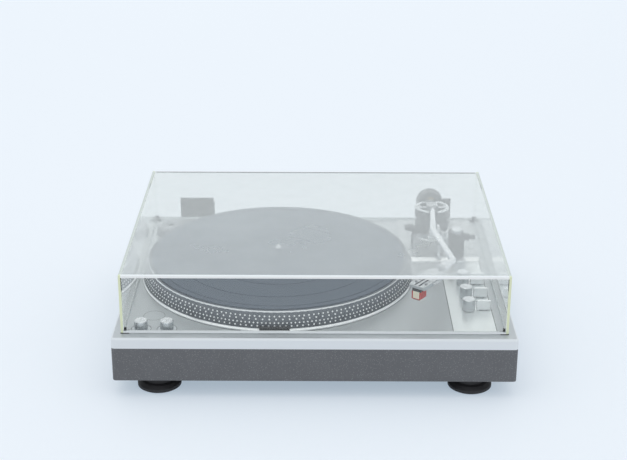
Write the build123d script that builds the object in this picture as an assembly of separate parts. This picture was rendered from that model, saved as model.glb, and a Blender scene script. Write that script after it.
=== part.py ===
from build123d import *
from math import cos, degrees, pi, radians, sin
import os

# Driving dimensions, all in millimetres.
WIDTH = 453.0
BODY_DEPTH = 362.0
TOTAL_DEPTH = 374.0
FOOT_HEIGHT = 21.0
PLINTH_HEIGHT = 39.8
BAND_HEIGHT = 12.7
DECK_SKIN = 3.0
CORNER = 4.0

# The deck's top surface and its front edge are the datum of everything above the plinth:
# x is measured from the middle, d backwards from the front edge, h up from the deck top.
DECK_Z = FOOT_HEIGHT + PLINTH_HEIGHT + BAND_HEIGHT
FRONT_Y = -TOTAL_DEPTH / 2
HALF = WIDTH / 2
PLINTH_TOP = -BAND_HEIGHT
PLINTH_BOTTOM = PLINTH_TOP - PLINTH_HEIGHT
PLINTH_WALL = 14.0
COVER_TOP = PLINTH_BOTTOM + 2.3

# Platter
PLATTER_X = -45.0
PLATTER_D = 182.5
FLANGE_R = 165.3
RING_R = 157.8
RING_TOP = 22.9
MAT_SEAT = 20.6
MAT_TOP = 23.8
MAT_R = 153.6
SPINDLE_R = 3.57
SPINDLE_TOP = 35.0
SHAFT_R = 3.75
BEARING_CLEARANCE = 0.05

# Dust cover
LID_SIDE_GAP = 10.1
LID_FRONT = 12.0
LID_DEPTH = 341.6
LID_LIFT = 1.0
LID_HEIGHT = 69.8
LID_WALL = 3.5
HINGE_D = 366.0
HINGE_H = 14.0
HINGE_X = 158.5
HINGE_W = 44.0

# Tonearm: a pivot, two bends and a head end, all at one height above the deck.
ARM_H = 44.0
PIVOT_X = 150.0
PIVOT_D = 284.0
BEND_1 = (145.5, 208.0)
BEND_2 = (162.0, 113.0)
HEAD_ANGLE = 36.0
TUBE_R = 4.0
PLATE_H = 4.0
BASE_R = 21.0
RING_OUT_R = 22.0
RING_IN_R = 17.0

# Controls on the right-hand strip
STRIP_X = (155.5, 204.5)
STRIP_D = (16.6, 212.0)
KNOB_X = 178.0
KNOB_D = (78.0, 112.8, 149.6, 186.8)
KNOB_R = 7.3
KNOB_TOP = 14.5
PADDLE_X = 195.3
PADDLE_AXIS_H = -6.0
PITCH_X = (-195.0, -166.0)
PITCH_D = 26.0
PITCH_R = 7.5
PITCH_TOP = 11.0

ADAPTOR_AT = (-188.6, 304.5)
ADAPTOR_R = 18.9
FOOT_AT = [(x, d) for x in (-177.6, 177.6) for d in (31.5, 330.5)]

os.makedirs("parts", exist_ok=True)


def save(node, shape):
    """Write one node, named after what it is."""
    export_step(shape, f"parts/{node}.step")


def at(x, d, h):
    """A place over the deck: x from the middle, d from its front edge, h above its top."""
    return Pos(x, FRONT_Y + d, DECK_Z + h)


def block(x0, x1, d0, d1, h0, h1):
    """A plain block between two corners given over the deck."""
    return at((x0 + x1) / 2, (d0 + d1) / 2, (h0 + h1) / 2) * Box(x1 - x0, d1 - d0, h1 - h0)


def post(x, d, h0, h1, r):
    """An upright round bar."""
    return at(x, d, (h0 + h1) / 2) * Cylinder(r, h1 - h0)


def turned(points, x=0.0, d=0.0):
    """A turned piece: (radius, h) points spun about an upright axis at x, d."""
    outline = make_face(Polyline(*[(r, 0, h) for r, h in points], close=True))
    return at(x, d, 0) * revolve(outline, Axis.Z)


def slab(x0, x1, d0, d1, h0, h1, corner):
    """A block with rounded upright corners."""
    shape = block(x0, x1, d0, d1, h0, h1)
    return fillet(shape.edges().filter_by(Axis.Z), corner)


def ring_of(count, radius, start=0.0):
    """Angles and offsets of things evenly spaced on a circle."""
    for i in range(count):
        a = start + 2 * pi * i / count
        yield degrees(a), radius * cos(a), radius * sin(a)


# Deck plate: a die-cast tray with a bright chamfer round its top edge
def deck_plate():
    deck = slab(-HALF, HALF, 0, BODY_DEPTH, PLINTH_TOP, 0, CORNER)
    deck = chamfer(deck.faces().sort_by(Axis.Z)[-1].outer_wire().edges(), 2.2)
    rim = 5.0
    deck -= block(-HALF + rim, HALF - rim, rim, BODY_DEPTH - rim, PLINTH_TOP - 1, -DECK_SKIN)
    deck -= post(PLATTER_X, PLATTER_D, -5, 1, 50)
    deck -= block(*STRIP_X, *STRIP_D, -1.2, 1)
    for d in KNOB_D:
        deck -= post(KNOB_X, d, -5, 1, 4.2)
    for d in KNOB_D[:3]:
        deck -= block(PADDLE_X - 5.4, PADDLE_X + 5.4, d - 4, d + 4, -5, 1)
    for x in PITCH_X:
        deck -= post(x, PITCH_D, -0.6, 1, 10.6)
        deck -= post(x, PITCH_D, -5, 1, 3.3)
    deck -= post(*ADAPTOR_AT, -1, 1, ADAPTOR_R + 0.4)
    deck -= post(PIVOT_X, PIVOT_D, -5, 1, 10.2)
    return deck


# Plinth: a dark frame of four boards, butted at the corners, with a rebate for the bottom cover
REAR_GLAND_X = (-104.0, -64.0)
GLAND_H = -33.0
GROUND_X = -36.0


def plinth_frame():
    frame = slab(-HALF, HALF, 0, BODY_DEPTH, PLINTH_BOTTOM, PLINTH_TOP, CORNER)
    wall = PLINTH_WALL
    frame -= block(-HALF + wall, HALF - wall, wall, BODY_DEPTH - wall, -60, 0)
    frame -= block(-219.5, 219.5, 7, BODY_DEPTH - 7, PLINTH_BOTTOM - 1, COVER_TOP)
    for x in REAR_GLAND_X:
        frame -= at(x, BODY_DEPTH, GLAND_H) * Rot(90, 0, 0) * Cylinder(6.55, 60)
    frame -= at(GROUND_X, BODY_DEPTH, GLAND_H) * Rot(90, 0, 0) * Cylinder(2.05, 60)
    for x, d in SCREW_AT:
        frame -= post(x, d, COVER_TOP - 2, COVER_TOP + 10.2, 1.55)
    rear = BODY_DEPTH - wall
    boards = [
        frame & block(-HALF, HALF, 0, wall, -60, 0),
        frame & block(-HALF, HALF, rear, BODY_DEPTH, -60, 0),
        frame & block(-HALF, -HALF + wall, wall, rear, -60, 0),
        frame & block(HALF - wall, HALF, wall, rear, -60, 0),
    ]
    return Compound(children=boards)


SCREW_AT = [(x, d) for x in (-216.0, 216.0) for d in (62.0, 181.0, 300.0)]
SCREW_AT += [(x, d) for x in (-110.0, 110.0) for d in (10.5, BODY_DEPTH - 10.5)]


def bottom_cover():
    cover = block(-219, 219, 7.5, BODY_DEPTH - 7.5, PLINTH_BOTTOM, COVER_TOP)
    for x, d in SCREW_AT:
        cover -= post(x, d, -60, -40, 1.6)
    for x, d in FOOT_AT:
        cover -= post(x, d, -60, -40, 3.1)
    for side in (-1, 1):
        for i in range(9):
            slot_x = side * 96.0
            slot_d = 130.0 + 12.0 * i
            cover -= block(slot_x - 32, slot_x + 32, slot_d - 2, slot_d + 2, -60, -40)
    return cover


def cover_screws():
    parts = []
    for x, d in SCREW_AT:
        head = post(x, d, PLINTH_BOTTOM - 1.6, PLINTH_BOTTOM, 3.0)
        head -= at(x, d, PLINTH_BOTTOM - 1.6) * Box(4.4, 0.9, 1.4)
        head -= at(x, d, PLINTH_BOTTOM - 1.6) * Box(0.9, 4.4, 1.4)
        parts.append(head + post(x, d, PLINTH_BOTTOM, COVER_TOP + 9.5, 1.5))
    return Compound(children=parts)


# Feet: ringed rubber necks with a wide flange, each held by a bolt and nut
def rubber_feet():
    low = -DECK_Z
    outline = [
        (7, 0), (22.5, 0), (25, 1.6), (25, 5), (21, 8.2), (17.5, 9.2), (17.5, 11.6),
        (19, 12.4), (19, 14.2), (17.5, 15), (17.5, 17), (20, 18), (20, FOOT_HEIGHT),
        (3.2, FOOT_HEIGHT), (3.2, 10), (7, 10),
    ]
    feet = [turned([(r, h + low) for r, h in outline], x, d) for x, d in FOOT_AT]
    return Compound(children=feet)


def foot_bolts():
    low = -DECK_Z
    bolts = []
    for x, d in FOOT_AT:
        bolt = post(x, d, low + 6.5, low + 10, 6)
        bolt += post(x, d, low + 9, COVER_TOP + 6, 3)
        nut = extrude(RegularPolygon(5.6, 6), 4)
        bolts.append(bolt + at(x, d, COVER_TOP) * nut)
    return Compound(children=bolts)


# Direct-drive motor under the platter
def motor_housing():
    pot = turned(
        [(9.3, -30), (46, -30), (46, -6), (58, -6), (58, -DECK_SKIN), (43, -DECK_SKIN),
         (43, -27), (9.3, -27)],
        PLATTER_X, PLATTER_D)
    for _, dx, dd in ring_of(3, 52):
        pot -= post(PLATTER_X + dx, PLATTER_D + dd, -8, 0, 1.6)
    return pot


def stator_coils():
    board = turned([(17, -21.6), (40, -21.6), (40, -20), (17, -20)], PLATTER_X, PLATTER_D)
    parts = [board]
    for i in range(3):
        _, dx, dd = list(ring_of(3, 36, pi / 6))[i]
        parts.append(post(PLATTER_X + dx, PLATTER_D + dd, -27, -21.6, 2.5))
    for angle, dx, dd in ring_of(9, 29):
        coil = Box(17, 12, 11) - Box(8, 4, 12)
        coil = fillet(coil.edges().filter_by(Axis.Z).sort_by(SortBy.DISTANCE)[-4:], 2.5)
        parts.append(at(PLATTER_X + dx, PLATTER_D + dd, -14.5) * Rot(0, 0, angle) * coil)
    return Compound(children=parts)


def bearing_housing():
    bore = SHAFT_R + BEARING_CLEARANCE
    return turned(
        [(0, -45), (9, -45), (9, -27), (16, -27), (16, -24), (9, -24), (9, -9), (bore, -9),
         (bore, -42), (0, -42)],
        PLATTER_X, PLATTER_D)


def circuit_board():
    board = block(40, 150, 110, 210, -46, -44.4)
    for x in (44, 146):
        for d in (114, 206):
            board += post(x, d, COVER_TOP, -46, 2.5)
    return board


def board_components():
    parts = []
    for i in range(4):
        parts.append(post(56 + 14 * i, 128, -44.4, -30 + 2 * (i % 2), 5))
    for i in range(3):
        parts.append(block(60 + 26 * i, 78 + 26 * i, 150, 157, -44.4, -41))
    for i in range(7):
        parts.append(block(58 + 11 * i, 60.5 + 11 * i, 172, 180, -44.4, -42))
    parts.append(block(120, 138, 190, 202, -44.4, -34))
    return Compound(children=parts)


def transformer():
    x, d = -165.0, 270.0
    core = block(x - 26, x + 26, d - 10, d + 10, -46, -12)
    core -= block(x - 17, x + 17, d - 11, d + 11, -38, -20)
    core += block(x - 36, x + 36, d - 10, d + 10, COVER_TOP, -46)
    winding = slab(x - 16.6, x + 16.6, d - 19, d + 19, -37.6, -20.4, 5)
    return Compound(children=[core, winding])


# Strobe lamp block standing in front of the platter's rim, hollowed to the rim's own slope
STROBE_HALF = 17.0
STROBE_FRONT = 15.8
STROBE_TOP = 7.0


def strobe_housing():
    body = block(PLATTER_X - STROBE_HALF, PLATTER_X + STROBE_HALF, STROBE_FRONT, 20.6, 0, STROBE_TOP)
    body = fillet(body.edges().filter_by(Axis.X).sort_by(Axis.Z)[-2:].sort_by(Axis.Y)[0], 0.8)
    swept = turned(
        [(0, -1), (FLANGE_R + 0.4, -1), (FLANGE_R + 0.4, 2.9), (FLANGE_R - 6.2, 19.6), (0, 19.6)],
        PLATTER_X, PLATTER_D)
    body -= swept
    return body - strobe_window()


def strobe_window():
    return block(PLATTER_X - 13, PLATTER_X + 13, STROBE_FRONT + 0.9, STROBE_FRONT + 1.7, 4.2, 5.8)


# Control strip, its knobs, paddles and the bodies under them
def control_panel():
    gap = 0.45
    panel = block(STRIP_X[0] + gap, STRIP_X[1] - gap, STRIP_D[0] + gap, STRIP_D[1] - gap, -1.2, 0.2)
    for d in KNOB_D:
        panel -= post(KNOB_X, d, -2, 1, 3.05)
    for d in KNOB_D[:3]:
        panel -= block(PADDLE_X - 4.9, PADDLE_X + 4.9, d - 2.9, d + 2.9, -2, 1)
    return panel


def selector_knob(d):
    knob = post(KNOB_X, d, 0.6, KNOB_TOP, KNOB_R)
    knob = chamfer(knob.edges().filter_by(GeomType.CIRCLE).sort_by(Axis.Z)[-1:], 0.7)
    for angle, dx, dd in ring_of(36, KNOB_R):
        flute = at(KNOB_X + dx, d + dd, KNOB_TOP / 2 + 0.5) * Cylinder(0.28, KNOB_TOP - 4)
        knob -= flute
    knob -= block(KNOB_X - 0.35, KNOB_X + 0.35, d - KNOB_R, d - 1.5, KNOB_TOP - 0.35, KNOB_TOP + 1)
    return knob + post(KNOB_X, d, -12, 0.6, 3.0)


def paddle(d):
    """A thin upright lever, wider than its slot, on a crosswise axle under the panel."""
    blade = block(PADDLE_X - 8.3, PADDLE_X + 8.3, d - 1.6, d + 1.6, 1.0, 12.6)
    blade = fillet(blade.edges().filter_by(Axis.Y).sort_by(Axis.Z)[-2:], 1.6)
    blade = fillet(blade.edges().filter_by(Axis.X).sort_by(Axis.Z)[-2:], 0.9)
    stem = block(PADDLE_X - 4.3, PADDLE_X + 4.3, d - 1.2, d + 1.2, PADDLE_AXIS_H, 1.2)
    axle = at(PADDLE_X, d, PADDLE_AXIS_H) * Rot(0, 90, 0) * Cylinder(2.0, 16)
    return blade + stem + axle


def control_bodies():
    """Rotary switches, paddle switches and the two pitch potentiometers, under the deck."""
    parts = []
    for d in KNOB_D:
        body = block(KNOB_X - 8, KNOB_X + 6.5, d - 8, d + 8, -16, -DECK_SKIN)
        parts.append(body - post(KNOB_X, d, -12.4, 0, 3.05))
    for d in KNOB_D[:3]:
        body = block(PADDLE_X - 10, PADDLE_X + 10, d - 8, d + 8, -14, -DECK_SKIN)
        body -= block(PADDLE_X - 4.9, PADDLE_X + 4.9, d - 5.5, d + 5.5, -11.5, 0)
        body -= at(PADDLE_X, d, PADDLE_AXIS_H) * Rot(0, 90, 0) * Cylinder(2.05, 16.6)
        parts.append(body)
    for x in PITCH_X:
        body = post(x, PITCH_D, -14, -DECK_SKIN, 8)
        parts.append(body - post(x, PITCH_D, -12.4, 0, 3.05))
    return Compound(children=parts)


def pitch_knob(x):
    knob = post(x, PITCH_D, 0.4, PITCH_TOP, PITCH_R)
    knob = chamfer(knob.edges().filter_by(GeomType.CIRCLE).sort_by(Axis.Z)[-1:], 0.8)
    for angle, dx, dd in ring_of(40, PITCH_R):
        knob -= at(x + dx, PITCH_D + dd, PITCH_TOP / 2 - 0.5) * Cylinder(0.26, PITCH_TOP - 2.6)
    knob -= block(x - 0.35, x + 0.35, PITCH_D - PITCH_R, PITCH_D - 1.5, PITCH_TOP - 0.35, PITCH_TOP + 1)
    return knob + post(x, PITCH_D, -12, 0.4, 3.0)


# Turning parts: platter, mat, rotor and spindle
def platter():
    bore = SHAFT_R + 0.03
    outline = [
        (bore, 3), (14, 3), (14, 15.4), (150, 15.4), (157.5, 0.7), (FLANGE_R, 0.7), (FLANGE_R, 2.0),
        (FLANGE_R - 0.6, 2.5), (FLANGE_R - 6.6, 19.2), (RING_R + 0.3, 21.4), (RING_R, RING_TOP - 0.3),
        (RING_R - 0.4, RING_TOP), (RING_R - 2.6, RING_TOP), (154.3, MAT_SEAT), (bore, MAT_SEAT),
    ]
    return turned(outline, PLATTER_X, PLATTER_D)


def platter_mat():
    outline = [(4.0, MAT_SEAT), (MAT_R, MAT_SEAT), (MAT_R, MAT_TOP - 0.5), (MAT_R - 0.8, MAT_TOP)]
    groove_depth = 0.6
    groove_width = 1.8
    for r in (147.5, 123.1, 88.5):
        outline += [(r, MAT_TOP), (r - 0.4, MAT_TOP - groove_depth)]
        outline += [(r - groove_width, MAT_TOP - groove_depth), (r - groove_width - 0.4, MAT_TOP)]
    outline += [(54, MAT_TOP), (52.5, MAT_TOP - 1.0), (4.0, MAT_TOP - 1.0)]
    return turned(outline, PLATTER_X, PLATTER_D)


def rotor_magnet():
    bore = SHAFT_R + 0.03
    return turned(
        [(bore, 0), (24, 0), (24, -6.5), (38, -6.5), (38, 0), (42, 0), (42, 3), (bore, 3)],
        PLATTER_X, PLATTER_D)


def spindle():
    return turned(
        [(0, -41.9), (SHAFT_R, -41.9), (SHAFT_R, MAT_TOP), (SPINDLE_R, MAT_TOP),
         (SPINDLE_R, SPINDLE_TOP - 4), (1.6, SPINDLE_TOP - 0.6), (0.8, SPINDLE_TOP), (0, SPINDLE_TOP)],
        PLATTER_X, PLATTER_D)


# Dust cover with its hinge leaves and bumpers
LID_HALF = HALF - LID_SIDE_GAP
LID_REAR = LID_FRONT + LID_DEPTH
LID_TOP = LID_LIFT + LID_HEIGHT


def lid_cover():
    outer = block(-LID_HALF, LID_HALF, LID_FRONT, LID_REAR, LID_LIFT, LID_TOP)
    outer = fillet(outer.edges().filter_by(Axis.Z), 1.6)
    outer = fillet(outer.faces().sort_by(Axis.Z)[-1].outer_wire().edges(), 1.2)
    inner = block(
        -LID_HALF + LID_WALL, LID_HALF - LID_WALL, LID_FRONT + LID_WALL, LID_REAR - LID_WALL,
        LID_LIFT - 1, LID_TOP - LID_WALL)
    return outer - inner


def lid_bumpers():
    """Small rubber pads in the lid's lower corners, standing on the deck."""
    parts = []
    for side in (-1, 1):
        for d, inward in ((LID_FRONT, 1), (LID_REAR, -1)):
            x = side * (LID_HALF - 4.6)
            y = d + inward * 4.6
            pad = block(x - 4.6, x + 4.6, y - 4.6, y + 4.6, 0, LID_LIFT)
            corner_x = side * (LID_HALF - LID_WALL - 1.4)
            corner_d = d + inward * (LID_WALL + 1.4)
            pad += block(corner_x - 1.4, corner_x + 1.4, corner_d - 1.4, corner_d + 1.4, 0.5, 6.0)
            parts.append(pad)
    return Compound(children=parts)


def lid_hinge_leaves():
    """A plate on the lid's rear wall with one broad knuckle round the hinge pin."""
    parts = []
    for side in (-1, 1):
        x = side * HINGE_X
        half = HINGE_W / 2
        leaf = block(x - half, x + half, LID_REAR, LID_REAR + 2.6, 4.2, 30)
        leaf += block(x - 13, x + 13, LID_REAR + 2, HINGE_D - 2, HINGE_H + 1.5, HINGE_H + 9)
        leaf += at(x, HINGE_D, HINGE_H) * Rot(0, 90, 0) * Cylinder(7, 26)
        leaf += block(x - 13, x + 13, LID_REAR + 2, HINGE_D, HINGE_H - 4, HINGE_H + 4)
        leaf -= at(x, HINGE_D, HINGE_H) * Rot(0, 90, 0) * Cylinder(2.55, 60)
        parts.append(leaf)
    return Compound(children=parts)


def hinge_bases():
    """Brackets on the plinth's rear with two ears that hold the pin."""
    parts = []
    for side in (-1, 1):
        x = side * HINGE_X
        half = HINGE_W / 2
        base = block(x - half, x + half, BODY_DEPTH, TOTAL_DEPTH, -40, 3)
        base += block(x - half, x + half, LID_REAR + 3.4, TOTAL_DEPTH, 0, 3)
        for ear in (-1, 1):
            ear_x = x + ear * (half - 4.3)
            base += block(ear_x - 4.3, ear_x + 4.3, HINGE_D - 7, HINGE_D + 7, 2, HINGE_H)
            base += at(ear_x, HINGE_D, HINGE_H) * Rot(0, 90, 0) * Cylinder(7, 8.6)
        base -= at(x, HINGE_D, HINGE_H) * Rot(0, 90, 0) * Cylinder(2.52, 60)
        parts.append(base)
    return Compound(children=parts)


def hinge_pins():
    pins = []
    for side in (-1, 1):
        pins.append(at(side * HINGE_X, HINGE_D, HINGE_H) * Rot(0, 90, 0) * Cylinder(2.5, HINGE_W))
    return Compound(children=pins)


# Rear fittings: two empty cord glands and a ground terminal
def cord_glands():
    parts = []
    for x in REAR_GLAND_X:
        along = Rot(-90, 0, 0)
        body = at(x, BODY_DEPTH - 5, GLAND_H) * along * Cylinder(6.5, 22)
        body += at(x, BODY_DEPTH + 1.5, GLAND_H) * along * Cylinder(9.5, 3)
        body += at(x, BODY_DEPTH + 6, GLAND_H) * along * Cone(7.6, 5.6, 8)
        body -= at(x, BODY_DEPTH, GLAND_H) * along * Cylinder(3.2, 60)
        parts.append(body)
    return Compound(children=parts)


def ground_terminal():
    across = Rot(90, 0, 0)
    stud = at(GROUND_X, BODY_DEPTH - 4, GLAND_H) * across * Cylinder(2, 27)
    washer = at(GROUND_X, BODY_DEPTH + 0.75, GLAND_H) * across * Cylinder(5.5, 1.5)
    cap = at(GROUND_X, BODY_DEPTH + 5, GLAND_H) * across * Cylinder(4.5, 5)
    for _, dx, dz in ring_of(18, 4.5):
        cap -= at(GROUND_X + dx, BODY_DEPTH + 5, GLAND_H + dz) * across * Cylinder(0.4, 7)
    return stud + washer + cap


# Raised panel under the tonearm, its bright front bevel cut round the platter
def tonearm_plate():
    plate = block(108, STRIP_X[1], STRIP_D[1], 341, 0, PLATE_H)
    front_top = plate.edges().filter_by(Axis.X).sort_by(Axis.Z)[-2:].sort_by(Axis.Y)[0]
    plate = chamfer(front_top, PLATE_H - 0.3)
    plate -= post(PLATTER_X, PLATTER_D, -1, PLATE_H + 1, FLANGE_R + 2.5)
    plate -= post(PIVOT_X, PIVOT_D, -1, PLATE_H + 1, 10.2)
    return plate


def arm_base():
    """Dark pillar that carries the tonearm's upright bearing."""
    shaft = 4.0 + BEARING_CLEARANCE
    return turned(
        [(shaft, -26), (10, -26), (10, PLATE_H), (BASE_R + 2, PLATE_H), (BASE_R + 2, 7),
         (BASE_R, 8.5), (BASE_R, 28), (BASE_R - 2, 30.5), (9, 31), (shaft, 31)],
        PIVOT_X, PIVOT_D)


# Tonearm, turning part: an open cup with the upright shaft and two side pivots
def gimbal_ring():
    cup = turned(
        [(0, 32.2), (20, 32.2), (RING_OUT_R, 34.2), (RING_OUT_R, 45.2), (21.2, 46), (17.6, 46),
         (RING_IN_R, 45.4), (RING_IN_R, 35.2), (0, 35.2)],
        PIVOT_X, PIVOT_D)
    cup -= block(PIVOT_X - 5.6, PIVOT_X + 5.6, PIVOT_D - 30, PIVOT_D + 30, 38.2, 50)
    cup += post(PIVOT_X, PIVOT_D, -22, 33, 4.0)
    cup -= at(PIVOT_X, PIVOT_D, ARM_H) * Rot(0, 90, 0) * Cylinder(2.02, 60)
    return cup


def pivot_screws():
    screws = []
    for side in (-1, 1):
        reach = (5.2, 20.6)
        middle = side * (reach[0] + reach[1]) / 2
        screw = at(PIVOT_X + middle, PIVOT_D, ARM_H) * Rot(0, 90, 0) * Cylinder(2.0, reach[1] - reach[0])
        lock = at(PIVOT_X + side * 15.6, PIVOT_D, ARM_H) * Rot(0, 90, 0) * Cylinder(3.6, 2.0)
        screws.append(screw + lock)
    return Compound(children=screws)


def arm_hub():
    """Cross block on the side pivots, with the round stub that carries the counterweight."""
    hub = at(PIVOT_X, PIVOT_D, ARM_H) * Box(15, 13, 11)
    hub = fillet(hub.edges().filter_by(Axis.Y), 2.5)
    stub_length = 36.5
    hub += at(PIVOT_X, PIVOT_D + 6.5 + stub_length / 2, ARM_H) * Rot(90, 0, 0) * Cylinder(4.0, stub_length)
    for side in (-1, 1):
        socket = at(PIVOT_X + side * 6.6, PIVOT_D, ARM_H) * Rot(0, 90, 0) * Cylinder(2.05, 3.2)
        hub -= socket
    hub -= at(PIVOT_X, PIVOT_D - 5, ARM_H) * Rot(90, 0, 0) * Cylinder(TUBE_R + 0.02, 4.2)
    return hub


def along_head(s):
    """A point on the head end's line, s millimetres past the second bend."""
    a = radians(HEAD_ANGLE)
    return BEND_2[0] - s * sin(a), BEND_2[1] - s * cos(a)


def head_frame(s, h):
    """A frame on the head end: +X to its right, +Y back along it, +Z up."""
    x, d = along_head(s)
    return at(x, d, h) * Rot(0, 0, -HEAD_ANGLE)


def arm_tube():
    """An S-shaped tube: straight runs joined by tangent arcs."""
    start = (PIVOT_X, PIVOT_D - 6.7)
    points = [start, BEND_1, BEND_2, along_head(17.5)]
    path = FilletPolyline(*[(x, d) for x, d in points], radius=(60, 15))
    path = at(0, 0, ARM_H) * path
    first = path @ 0
    heading = path % 0
    section = Plane(origin=first, z_dir=heading)
    tube = sweep(section * Circle(TUBE_R), path=path)
    return tube - sweep(section * Circle(TUBE_R - 0.8), path=path)


def headshell_collar():
    collar = head_frame(20, ARM_H) * Rot(90, 0, 0) * Cylinder(5.6, 12)
    collar = chamfer(collar.edges().filter_by(GeomType.CIRCLE), 0.8)
    for angle, dx, dz in ring_of(20, 5.6):
        collar -= head_frame(20, ARM_H) * Pos(dx, 0, dz) * Rot(90, 0, 0) * Cylinder(0.35, 9)
    collar -= head_frame(17, ARM_H) * Rot(90, 0, 0) * Cylinder(TUBE_R + 0.05, 8)
    return collar - head_frame(23, ARM_H) * Rot(90, 0, 0) * Cylinder(3.65, 10)


# Head: a flat shell with side lips, and the cartridge that two screws hold under it. Places
# along it are s, past the second bend.
SHELL_FRONT_S = 82.0
SHELL_TOP = ARM_H + 0.4
SHELL_FLOOR = ARM_H - 2.8
CARTRIDGE_S = 71.0
CARTRIDGE_FRONT_S = 81.2
CARTRIDGE_FLOOR = 37.2
SCREW_SIDE = 6.35


def head_block(half, s0, s1, h0, h1):
    """A block centred on the head end's line, from s0 to s1 along it."""
    return head_frame((s0 + s1) / 2, (h0 + h1) / 2) * Box(2 * half, s1 - s0, h1 - h0)


def headshell():
    """A flat shell with two long slots and small holes, and a plug that enters the collar."""
    neck_s = 27.5
    lip = 1.1
    low = ARM_H - 4.2
    front = -SHELL_FRONT_S
    outline = Polyline(
        (-4.5, -neck_s), (-10.3, -40), (-10.3, front + 4.5), (-8.8, front), (8.8, front),
        (10.3, front + 4.5), (10.3, -40), (4.5, -neck_s), close=True)
    body = head_frame(0, low) * extrude(make_face(outline), SHELL_TOP - low)
    body -= head_block(10.3 - lip, 38, SHELL_FRONT_S + 1, low - 1, SHELL_FLOOR)
    for x in (-2.6, 2.6):
        body -= head_frame(70, ARM_H) * Pos(x, 0, 0) * Box(1.9, 20, 12)
    for x in (-SCREW_SIDE, SCREW_SIDE):
        for s in (63.5, CARTRIDGE_S):
            body -= head_frame(s, ARM_H) * Pos(x, 0, 0) * Cylinder(1.1, 12)
    body += head_frame(28.3, ARM_H) * Rot(90, 0, 0) * Cylinder(4.4, 4.0)
    return body + head_frame(23.5, ARM_H) * Rot(90, 0, 0) * Cylinder(3.6, 10)


def cartridge_body():
    """A slim black body with a wider mounting flange behind its front."""
    body = head_block(5.5, 66, CARTRIDGE_FRONT_S, CARTRIDGE_FLOOR, SHELL_FLOOR)
    body = fillet(body.edges().filter_by(Axis.Z), 0.6)
    body += head_block(8.4, CARTRIDGE_S - 3.5, CARTRIDGE_S + 3.5, SHELL_FLOOR - 1.8, SHELL_FLOOR)
    for x in (-SCREW_SIDE, SCREW_SIDE):
        body -= head_frame(CARTRIDGE_S, SHELL_FLOOR) * Pos(x, 0, 0) * Cylinder(1.05, 9)
        body -= head_frame(CARTRIDGE_S, SHELL_FLOOR - 2.6) * Pos(x, 0, 0) * Cylinder(2.1, 1.6)
    return body


def cartridge_screws():
    screws = []
    for x in (-SCREW_SIDE, SCREW_SIDE):
        place = head_frame(CARTRIDGE_S, SHELL_TOP) * Pos(x, 0, 0)
        screw = place * Pos(0, 0, 0.6) * Cylinder(1.7, 1.2)
        screw -= place * Pos(0, 0, 1.2) * Box(4, 0.5, 0.8)
        screw += place * Pos(0, 0, -3.2) * Cylinder(1.0, 6.8)
        nut = head_frame(CARTRIDGE_S, SHELL_FLOOR - 3.3) * Pos(x, 0, 0)
        screws.append(screw + nut * extrude(RegularPolygon(1.7, 6), 1.5))
    return Compound(children=screws)


def stylus_holder():
    """Cream removable stylus block, its front face drawn down before the thin cantilever."""
    holder = head_block(4.2, 68.5, CARTRIDGE_FRONT_S, 33.6, CARTRIDGE_FLOOR)
    holder += head_block(4.2, CARTRIDGE_FRONT_S - 1.4, CARTRIDGE_FRONT_S, 28.6, 34)
    cantilever = head_frame(75.0, 30.8) * Rot(48, 0, 0) * Cylinder(0.35, 9)
    return holder + cantilever


def stylus_guard():
    """Red cup round the stylus block: two cheeks and a bar under the front, which pulls forward off."""
    low = 26.2
    top = CARTRIDGE_FLOOR - 0.2
    guard = head_block(5.5, 68, CARTRIDGE_FRONT_S + 0.4, low, top)
    guard = chamfer(guard.edges().filter_by(Plane.XY).sort_by(Axis.Z)[:4], 1.8)
    guard -= head_block(4.5, 60, 90, low + 2.2, top + 1)
    return guard - head_block(4.5, 60, CARTRIDGE_FRONT_S - 1.6, low - 1, top)


def finger_lift():
    """Thin blade that curls up and out from the headshell's right side."""
    place = head_frame(62, ARM_H)
    blade = place * Pos(12.4, 4, -1.0) * Box(4.2, 12, 0.8)
    tail = place * Pos(16.0, 2.5, -0.2) * Rot(0, -24, 0) * Box(5.4, 5.0, 0.8)
    return blade + tail


# Counterweight, which hangs low on the arm's axis and slides without turning, and the bush
# that drives it, turned by its dial
WEIGHT_D = (30.0, 49.0)
WEIGHT_H = ARM_H - 8.0
BUSH_R = 5.95
BUSH_REAR = 43.4
DIAL_D = (23.4, 26.4)


def weight_bush():
    length = BUSH_REAR - DIAL_D[0]
    middle = at(PIVOT_X, PIVOT_D + DIAL_D[0] + length / 2, ARM_H) * Rot(90, 0, 0)
    return middle * Cylinder(BUSH_R, length) - middle * Cylinder(4.05, length + 2)


def counterweight():
    length = WEIGHT_D[1] - WEIGHT_D[0]
    middle = (WEIGHT_D[0] + WEIGHT_D[1]) / 2
    weight = at(PIVOT_X, PIVOT_D + middle, WEIGHT_H) * Rot(90, 0, 0) * Cylinder(17, length)
    weight = fillet(weight.edges().filter_by(GeomType.CIRCLE), 1.6)
    for _, dx, dz in ring_of(44, 17):
        groove = at(PIVOT_X + dx, PIVOT_D + middle, WEIGHT_H + dz) * Rot(90, 0, 0) * Cylinder(0.5, 11)
        weight -= groove
    bore = WEIGHT_D[1] - 1.5 - WEIGHT_D[0]
    centre = WEIGHT_D[0] + bore / 2
    return weight - at(PIVOT_X, PIVOT_D + centre, ARM_H) * Rot(90, 0, 0) * Cylinder(6.0, bore)


def force_dial():
    length = DIAL_D[1] - DIAL_D[0]
    middle = at(PIVOT_X, PIVOT_D + DIAL_D[0] + length / 2, ARM_H) * Rot(90, 0, 0)
    dial = middle * Cylinder(12.0, length)
    for _, dx, dz in ring_of(30, 12.0):
        dial -= middle * Pos(dx, dz, 0) * Cylinder(0.4, length + 1)
    return dial - middle * Cylinder(BUSH_R, length + 2)


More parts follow.
